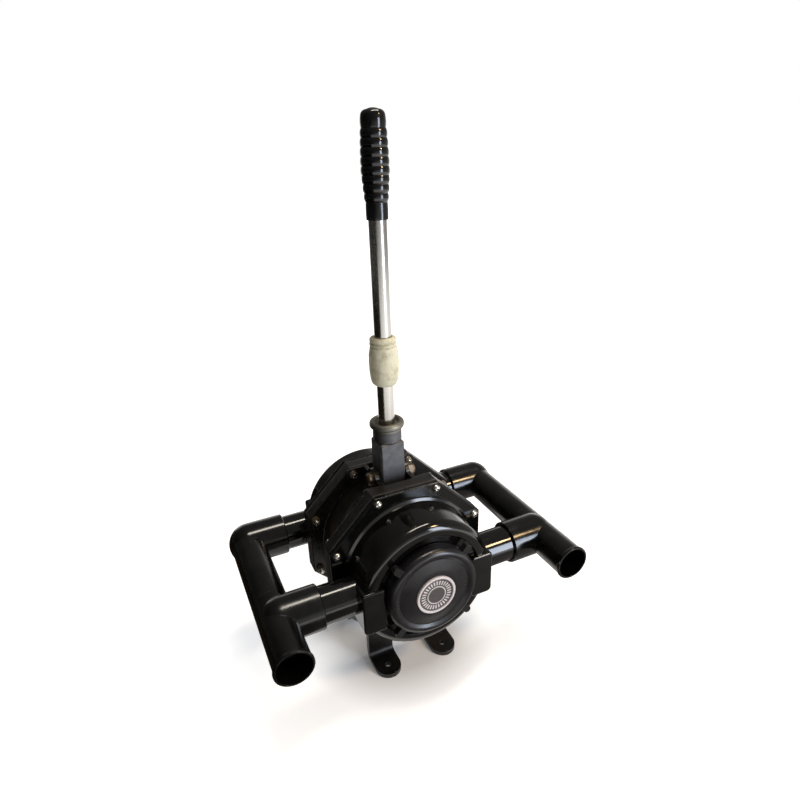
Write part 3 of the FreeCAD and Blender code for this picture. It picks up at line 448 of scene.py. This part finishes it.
neoprene = moulded("pressed neoprene sheet", "2E261F", "443A30", 0.5, 0.7, 0.03)
for head, way in HEADS.items():
    near, far = RIM_Y
    middle_near, middle_far = MIDDLE_Y
    # Pressed section from the clamped rim over the rolling fold to the stud hole, and back
    section = [(SHEET_R, near), (SHEET_R, far), (CLAMP_INNER_R, far), (0.0890, far),
               (0.0872, 0.0537), (0.0856, 0.0518), (0.0832, 0.0480), (0.0815, 0.0458),
               (0.0790, 0.0447), (0.0765, 0.0445), (0.0700, 0.0445), (0.0668, 0.0448),
               (0.0640, 0.0462), (0.0610, 0.0490), (0.0588, 0.0515), (0.0565, middle_far),
               (STUD_R, middle_far), (STUD_R, middle_near),
               (0.0545, middle_near), (0.0565, 0.0497), (0.0590, 0.0468), (0.0615, 0.0442),
               (0.0645, 0.0425), (0.0680, 0.0420), (0.0780, 0.0420), (0.0810, 0.0426),
               (0.0836, 0.0444), (0.0862, 0.0478), (0.0880, 0.0505), (0.0900, near),
               (CLAMP_INNER_R, near), (SHEET_R, near)]
    points = [(r, way * y, HEAD_Z) for r, y in section]
    sector_angle = 360 / SHEET_SECTORS
    wedge = spun("wedge", points, (0, 0, HEAD_Z), (0, 1, 0), sector_angle, SECTOR_STEPS)
    # Each sector of the sheet is a copy of the wedge, turned to its own bearing about the heads' axis
    for k in range(SHEET_SECTORS):
        sector = copy_at(wedge, head + "_diaphragm_sector_%02d" % (k + 1),
                         head_turn(math.radians(sector_angle * k)))
        sector.data.materials.append(neoprene)
        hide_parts(head + "_diaphragm")
        corners = [vertex.co for vertex in sector.data.vertices]
        middle = sum(corners, Vector()) / len(corners)
        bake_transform(sector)
    bpy.data.objects.remove(wedge)
    # The clamped rim: an octagonal frame round the pressed sheet
    bpy.ops.mesh.primitive_circle_add(vertices=8, radius=RIM_HALF_ACROSS / math.cos(math.pi / 8),
                                      fill_type="NGON", location=(0, way * near, HEAD_Z),
                                      rotation=(math.pi / 2, 0, 0))
    rim = bpy.context.object
    rim.name = head + "_diaphragm_rim"
    bpy.ops.object.transform_apply(location=True, rotation=True, scale=True)
    rim.data.transform(head_turn(math.pi / 8))
    bpy.ops.object.mode_set(mode="EDIT")
    bpy.ops.mesh.select_all(action="SELECT")
    bpy.ops.mesh.extrude_region_move(TRANSFORM_OT_translate={"value": (0, way * (far - near), 0)})
    finish_mesh(rim)
    bpy.ops.mesh.primitive_cylinder_add(vertices=96, radius=SHEET_R - 0.0003, depth=0.02,
                                        location=(0, way * near, HEAD_Z),
                                        rotation=(math.pi / 2, 0, 0))
    cut_with(rim, bpy.context.object)
    rim.data.materials.append(neoprene)
    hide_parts(head + "_diaphragm")
    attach(rim, "pump_frame")


# Valve seats and flaps
# One valve in each inlet and outlet: a ring of white acetal turned from bar, which is waxy and pale,
# and on it a brass flap, turned and worn yellow-brown, that swings on a stainless pin.
VALVES = [head + "_" + way for head in HEADS for way in ("inlet", "outlet")]
dress(moulded("white acetal", "C8C8C2", "D6D6D0", 0.3, 0.45, 0.02),
      *[valve + "_seat" for valve in VALVES])
brass = bare_metal("turned brass", "B89A5A", "8C7440", 0.3, 0.45)
dress(brass, *[valve + "_flap" for valve in VALVES])
dress(stainless, "flap_pins")


# Seals
# Cap gaskets, spigot rings and the facings glued on the flaps, all of black nitrile rubber moulded
# in plain dies. The rubber is matt and a little bloomed, so it shows as a soft dark line.
dress(moulded("black nitrile rubber", "0C0C0C", "1B1B1A", 0.6, 0.8, 0.02),
      "front_cap_gasket", "rear_cap_gasket", "spigot_seals",
      *[valve + "_flap_facing" for valve in VALVES])


# Bowls and hose spigots
# The pump chambers and their pipe stubs: injection-moulded glass-filled nylon from a polished mould,
# so they are glossy, with slow ripples where the thick walls sank as they cooled.
dress(moulded("glossy black nylon", "070707", "131312", 0.06, 0.16, 0.14),
      "front_bowl", "rear_bowl", "hose_spigots")


# Flange screws
# Domed socket screws in stainless steel, M6, from the bowl's flange through the whole stack. Their
# heads are bright from the press, and the last turns of thread stand out of the nuts in the gap.
FLANGE_Y = -0.0620
SCREW_CIRCLE_R = 0.1160
SCREW_HEAD_R = 0.0060
SCREW_HEAD_H = 0.0045
SHANK_R, THREAD_ROOT_R = 0.0030, 0.0026
SCREW_TIP_Y = -0.0230
THREAD_PITCH = 0.0010
THREAD_RINGS = 12
THREAD_LENGTH = 0.0125
KEY_R, KEY_H = 0.0021, 0.0050
SCREW_TURN = 0.7
screw_bearings = [math.radians(22.5 + 45 * k) for k in range(8)]
screw_spots = [(SCREW_CIRCLE_R * math.cos(b), SCREW_CIRCLE_R * math.sin(b)) for b in screw_bearings]


def both_ways(place):
    """A place on the front head, and the one half a turn about the upright axis from it."""
    return [place, Matrix.Rotation(math.pi, 4, "Z") @ place]


def joined_copies(piece, name, places):
    """Copies of a piece at several places, joined as one; the first piece goes."""
    copies = [copy_at(piece, name, place) for place in places]
    bpy.data.objects.remove(piece)
    for copy in copies:
        copy.select_set(True)
    bpy.context.view_layer.objects.active = copies[0]
    bpy.ops.object.join()
    joined = bpy.context.object
    joined.name = name
    bpy.ops.object.select_all(action="DESELECT")
    return joined


screw_outline = [(0, FLANGE_Y - SCREW_HEAD_H), (0.0012, FLANGE_Y - 0.00446),
                 (0.0026, FLANGE_Y - 0.0042), (0.0040, FLANGE_Y - 0.0035),
                 (0.0051, FLANGE_Y - 0.0024), (0.0058, FLANGE_Y - 0.0012),
                 (SCREW_HEAD_R, FLANGE_Y - 0.0004), (SCREW_HEAD_R, FLANGE_Y), (SHANK_R, FLANGE_Y)]
thread_start = SCREW_TIP_Y - THREAD_LENGTH
screw_outline.append((SHANK_R, thread_start))
for k in range(THREAD_RINGS):
    y = thread_start + THREAD_PITCH * k
    screw_outline += [(THREAD_ROOT_R, y + THREAD_PITCH / 2), (SHANK_R, y + THREAD_PITCH)]
screw_outline += [(0.0024, SCREW_TIP_Y), (0, SCREW_TIP_Y)]
screw = spun("screw", [(r, y, 0) for r, y in screw_outline], (0, 0, 0), (0, 1, 0), steps=28)
bpy.ops.mesh.primitive_cylinder_add(vertices=6, radius=KEY_R, depth=KEY_H,
                                    location=(0, FLANGE_Y - 0.0048, 0), rotation=(math.pi / 2, 0, 0))
cut_with(screw, bpy.context.object)
spots = []
for k, (x, z) in enumerate(screw_spots):
    settle = Matrix.Translation((x, 0, HEAD_Z + z)) @ Matrix.Rotation(SCREW_TURN * k, 4, "Y")
    spots += both_ways(settle)
screws = joined_copies(screw, "flange_screw_set", spots)
screws.data.materials.append(stainless)
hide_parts("flange_screws")
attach(screws, "pump_frame")


# Flange nuts and washers
# Steel nuts, cut from hexagon bar and chamfered, on stamped washers that seat on the rings' backs, or
# on a cheek's tab. Zinc plated once, they are rusty brown and dull where the plating has gone.
RING_BACK_Y = -0.0340
CHEEK_TAB_T = 0.0040
CHEEK_TAB_X = 0.054
WASHER_R, WASHER_T = 0.0060, 0.0010
NUT_R, NUT_H = 0.0059, 0.0045
NUT_CORNER_R = 0.0058
NUT_CHAMFER = 0.0006
NUT_TURN = 0.9
aged_steel = bare_metal("aged plated steel", "9A8E7E", "5C5144", 0.32, 0.6)
nut_outline = [(0.0034, 0), (0.0050, 0), (NUT_R, NUT_CHAMFER), (NUT_R, NUT_H - NUT_CHAMFER),
               (0.0050, NUT_H), (0.0034, NUT_H), (SHANK_R, NUT_H - 0.0004), (SHANK_R, 0.0004),
               (0.0034, 0)]
nut = spun("nut", [(r, y, 0) for r, y in nut_outline], (0, 0, 0), (0, 1, 0), steps=36)
bpy.ops.mesh.primitive_cylinder_add(vertices=6, radius=NUT_CORNER_R, depth=0.02, location=(0, 0, 0),
                                    rotation=(math.pi / 2, 0, 0))
cut_with(nut, bpy.context.object, "INTERSECT")
washer_outline = [(0.0031, 0), (0.0057, 0), (WASHER_R, 0.0002), (WASHER_R, 0.0008),
                  (0.0057, WASHER_T), (0.0031, WASHER_T), (0.0031, 0)]
washer = spun("washer", [(r, y, 0) for r, y in washer_outline], (0, 0, 0), (0, 1, 0), steps=28)
nut_spots, washer_spots = [], []
for k, (x, z) in enumerate(screw_spots):
    on_tab = z > 0 and abs(x) < CHEEK_TAB_X
    seat_y = RING_BACK_Y + (CHEEK_TAB_T if on_tab else 0)
    washer_spots += both_ways(Matrix.Translation((x, seat_y, HEAD_Z + z)))
    nut_spots += both_ways(Matrix.Translation((x, seat_y + WASHER_T, HEAD_Z + z))
                           @ Matrix.Rotation(NUT_TURN * k, 4, "Y"))
for piece, name, places, node in ((nut, "flange_nut_set", nut_spots, "flange_nuts"),
                                  (washer, "flange_washer_set", washer_spots, "flange_washers")):
    whole = joined_copies(piece, name, places)
    whole.data.materials.append(aged_steel)
    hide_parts(node)
    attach(whole, "pump_frame")


# Inspection caps
# Caps that screw on the bowls' necks by hand, with a round rim and four grip lugs. They are the
# bowls' nylon from a spark-eroded mould, so they are greyer and satin, with a soft even sheen.
dress(moulded("satin black nylon", "121215", "1E1D1F", 0.26, 0.36, 0.05), "front_cap", "rear_cap")


# Badge
# An aluminium disc in the front cap's middle, printed black and white: a plain rim, a ring of even
# strokes and a bare centre. The print is speckled and rubbed with age.
BADGE_R = 0.0285
BADGE_SEAT_Y = -0.1410
BADGE_FIELD_Y = -0.1432
RIM_PRINT_R = (0.0249, 0.03)
THIN_RING_R = (0.0124, 0.0140)
STROKE_RING_R = (0.0160, 0.0222)
STROKES = 30.0
badge_outline = [(0, BADGE_SEAT_Y), (BADGE_R, BADGE_SEAT_Y), (BADGE_R, -0.1437), (0.0283, -0.1440),
                 (0.0279, -0.1442), (0.0256, -0.1442), (0.0253, -0.1440), (0.0251, -0.1433),
                 (0.0249, BADGE_FIELD_Y), (0.0140, BADGE_FIELD_Y), (0.0138, -0.1436),
                 (0.0135, -0.1438), (0.0128, -0.1438), (0.0125, -0.1436), (0.0123, BADGE_FIELD_Y),
                 (0, BADGE_FIELD_Y)]


def printed_alloy():
    """Satin print on aluminium: rings and strokes drawn by radius and bearing about the badge's axis.

    The speckles that age gives the ink are drawn at 1.4 mm, coarser than real, so that they show.
    """
    material, tree, shader = blank_finish("printed aluminium badge")
    coords = add_node(tree, "TexCoord").outputs["Object"]
    centred = add_node(tree, "Mapping", {"Vector": coords, "Location": (0, 0, -HEAD_Z)})
    parts = add_node(tree, "SeparateXYZ", {0: centred.outputs[0]})
    flat = add_node(tree, "CombineXYZ", {"X": parts.outputs["X"], "Y": parts.outputs["Z"]})
    radius = add_node(tree, "VectorMath", {0: flat.outputs[0]}, operation="LENGTH").outputs["Value"]
    bearing = add_node(tree, "Math", {0: parts.outputs["X"], 1: parts.outputs["Z"]},
                       operation="ARCTAN2")
    strokes = add_node(tree, "Math", {0: bearing.outputs[0], 1: STROKES}, operation="MULTIPLY")
    wave = add_node(tree, "Math", {0: strokes.outputs[0]}, operation="SINE")
    stroke = add_node(tree, "Math", {0: wave.outputs[0], 1: 0.05}, operation="GREATER_THAN")

    def band(low, high):
        """1 between two radii and 0 elsewhere."""
        above = add_node(tree, "Math", {0: radius, 1: low}, operation="GREATER_THAN")
        below = add_node(tree, "Math", {0: radius, 1: high}, operation="LESS_THAN")
        return add_node(tree, "Math", {0: above.outputs[0], 1: below.outputs[0]},
                        operation="MULTIPLY")

    rim = band(*RIM_PRINT_R)
    thin = band(*THIN_RING_R)
    ring = add_node(tree, "Math", {0: band(*STROKE_RING_R).outputs[0], 1: stroke.outputs[0]},
                    operation="MULTIPLY")
    light = add_node(tree, "Math", {0: rim.outputs[0], 1: thin.outputs[0]}, operation="MAXIMUM")
    light = add_node(tree, "Math", {0: light.outputs[0], 1: ring.outputs[0]}, operation="MAXIMUM")
    speckle = add_node(tree, "TexNoise", {"Vector": coords, "Scale": 700.0, "Detail": 3.0})
    rubbed = add_node(tree, "MapRange", {"Value": speckle.outputs["Fac"], "From Min": 0.35,
                                         "From Max": 0.65, "To Min": 0.62, "To Max": 1.0})
    ink = add_node(tree, "Mix", {0: speckle.outputs["Fac"], 6: linear("1C1B1B"), 7: linear("6A6462")},
                   data_type="RGBA")
    white = add_node(tree, "Mix", {0: rubbed.outputs[0], 6: linear("8C8484"), 7: linear("E0D9D9")},
                     data_type="RGBA")
    colour = add_node(tree, "Mix", {0: light.outputs[0], 6: ink.outputs[2], 7: white.outputs[2]},
                      data_type="RGBA")
    tree.links.new(colour.outputs[2], shader.inputs["Base Color"])
    shader.inputs["Roughness"].default_value = 0.42
    shader.inputs["IOR"].default_value = PLASTIC_IOR
    return material


badge = spun("front_badge_disc", [(r, y, HEAD_Z) for r, y in badge_outline], (0, 0, HEAD_Z),
             (0, 1, 0), steps=72)
badge.data.materials.append(printed_alloy())
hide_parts("front_badge")
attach(badge, "pump_frame")


# Pipework
# A tee, a link pipe and an elbow each side: black plastic, moulded or extruded and solvent-welded,
# whose sockets push over the spigots. Handling has left it between satin and gloss.
dress(moulded("black pipe plastic", "050505", "10100F", 0.13, 0.26, 0.1),
      *[way + "_" + piece for way in ("inlet", "outlet") for piece in ("tee", "link_pipe", "elbow")])


# Pivot, fork and yoke pin
# A plated steel bolt through both cheeks, on brass bushes, carries two steel fork plates riveted
# under the lever. Their turned stainless pin, held by clips, pushes the yoke block to and fro.
dress(aged_steel, "pivot_bolt", "pivot_nut", "pivot_washers", "left_fork_plate", "right_fork_plate")
dress(brass, "pivot_bushes")
dress(stainless, "yoke_pin", "yoke_clips", "fork_rivets")


# Lever socket and collar
# A cast aluminium block with a round neck, sand-dull and bluish grey, and a lipped collar turned
# from bar, pressed on the neck and weathered warm. A set screw through the neck holds the tube.
dress(bare_metal("cast aluminium alloy", "737375", "5C5C5E", 0.5, 0.65), "lever_socket")
dress(bare_metal("turned aluminium alloy", "8F8D84", "75736A", 0.45, 0.6), "socket_collar")
dress(stainless, "tube_set_screw")


# Lever tube
# Drawn aluminium, polished along its length, so that its glints run in long streaks from end to
# end. It stands in the socket's neck.
dress(bare_metal("drawn aluminium tube", "B6B4B0", "A6A49E", 0.19, 0.25, (3.0, 3.0, 0.04), edges=0),
      "lever_tube")


# Stop sleeve
# A bulb of soft cream vinyl pushed on the tube, with two turned grooves in its neck, puckered and
# grimy from use.
TUBE_R = 0.01165
SLEEVE_FOOT_Z, SLEEVE_TOP_Z = 0.4285, 0.4965
PUCKER_WIDTH = 0.009
PUCKER_DEPTH = 0.0011
sleeve_outline = [(TUBE_R, SLEEVE_FOOT_Z), (0.0125, SLEEVE_FOOT_Z), (0.0150, 0.4296),
                  (0.0170, 0.4320), (0.0184, 0.4355), (0.0193, 0.4400), (0.0199, 0.4450),
                  (0.0202, 0.4510), (0.0203, 0.4570), (0.0203, 0.4630), (0.0201, 0.4690),
                  (0.0197, 0.4740), (0.0191, 0.4785), (0.0185, 0.4812), (0.0181, 0.4830),
                  (0.0180, 0.4836), (0.0168, 0.4842), (0.0168, 0.4847), (0.0180, 0.4853),
                  (0.0183, 0.4868), (0.0180, 0.4883), (0.0168, 0.4889), (0.0168, 0.4894),
                  (0.0180, 0.4900), (0.0182, 0.4918), (0.0178, 0.4942), (0.0163, 0.4960),
                  (0.0140, SLEEVE_TOP_Z), (TUBE_R, SLEEVE_TOP_Z), (TUBE_R, 0.4945),
                  (0.0125, 0.4920), (0.0125, 0.4330), (TUBE_R, 0.4310), (TUBE_R, SLEEVE_FOOT_Z)]


def cream_vinyl():
    """Soft vinyl: waxy and pale, with olive grime in clouds about 14 mm across.

    Fine puckers, about 9 mm wide and 4 mm high, lie over the ones in the mesh.
    """
    material, tree, shader = blank_finish("cream vinyl")
    coords = add_node(tree, "TexCoord").outputs["Object"]
    grime = add_node(tree, "TexNoise", {"Vector": coords, "Scale": 70.0, "Detail": 6.0,
                                        "Roughness": 0.65})
    patches = add_node(tree, "MapRange", {"Value": grime.outputs["Fac"], "From Min": 0.48,
                                          "From Max": 0.72, "To Min": 0.0, "To Max": 0.85})
    colour = add_node(tree, "Mix", {0: patches.outputs[0], 6: linear("D8D4BA"), 7: linear("9F9870")},
                      data_type="RGBA")
    tree.links.new(colour.outputs[2], shader.inputs["Base Color"])
    squeezed = add_node(tree, "Mapping", {"Vector": coords, "Scale": (1.0, 1.0, 2.4)})
    pucker = add_node(tree, "TexNoise", {"Vector": squeezed.outputs[0], "Scale": 110.0,
                                         "Detail": 3.0})
    bump = add_node(tree, "Bump", {"Height": pucker.outputs["Fac"], "Strength": 0.5,
                                   "Distance": 0.001})
    tree.links.new(bump.outputs[0], shader.inputs["Normal"])
    shader.inputs["Roughness"].default_value = 0.45
    shader.inputs["IOR"].default_value = PLASTIC_IOR
    return material


sleeve = spun("cream_stop_sleeve", [(r, 0, z) for r, z in sleeve_outline], (0, 0, 0), (0, 0, 1),
              steps=72)
clouds = bpy.data.textures.new("squeezed vinyl", "CLOUDS")
clouds.noise_scale = PUCKER_WIDTH
bpy.context.view_layer.objects.active = sleeve
rounding = sleeve.modifiers.new("rounding", "SUBSURF")
rounding.levels = rounding.render_levels = 1
dents = sleeve.modifiers.new("dents", "DISPLACE")
dents.texture = clouds
dents.strength = PUCKER_DEPTH
dents.mid_level = 0.5
for step in ("rounding", "dents"):
    bpy.ops.object.modifier_apply(modifier=step)
sleeve.data.materials.append(cream_vinyl())
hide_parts("stop_sleeve")
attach(sleeve, "lever")


# Hand grip
# A ribbed sleeve of black rubber, moulded in one and stretched over the end of the tube. Hands have
# polished it, so that each rib carries its own small glint.
dress(moulded("polished black rubber", "050506", "0D0D0D", 0.08, 0.2, 0.05), "hand_grip")
